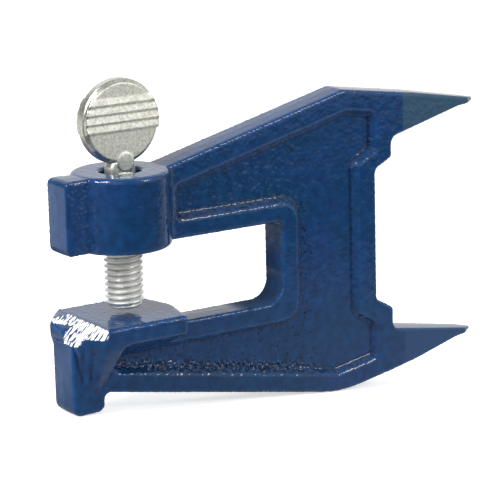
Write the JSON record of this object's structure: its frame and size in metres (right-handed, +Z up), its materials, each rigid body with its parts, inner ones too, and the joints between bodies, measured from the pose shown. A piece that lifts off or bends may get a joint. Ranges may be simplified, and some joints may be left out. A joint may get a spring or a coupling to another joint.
{
  "type": "saw filing vise",
  "caption": "Cast iron saw filing vise: C-shaped body with coffered sides, two spikes to drive into a stump, and a thumb screw that clamps the saw bar between boss and pad.",
  "frame": {"origin": "centre of the lower jaw's flat face, where the screw's axis meets it", "axes": "+X runs from the jaws to the spikes, +Y across the web, +Z up along the screw towards its thumb disc"},
  "size_m": [0.1626, 0.0334, 0.1135],
  "materials": {
    "blue_enamel": "gloss stoving enamel over sand-cast iron",
    "zinc_plating": "matt zinc plating, finely grained"
  },
  "bodies": {
    "casting": {"vise_casting": "blue_enamel"},
    "screw_end": {"screw_point": "zinc_plating"},
    "screw": {"thumb_screw": "zinc_plating"}
  },
  "joints": [
    {"name": "screw_feed", "type": "slide", "parent": "casting", "child": "screw_end", "axis": [0, 0, 1], "range_m": [-0.0018, 0.0196]},
    {"name": "screw_turn", "type": "hinge", "parent": "screw_end", "child": "screw", "pos_m": [0, 0, 0], "axis": [0, 0, 1], "range_deg": [-332, 3612]}
  ],
  "couplings": [
    {"joint": "screw_turn", "follows": "screw_feed", "rad_per_m": 3215.8}
  ]
}
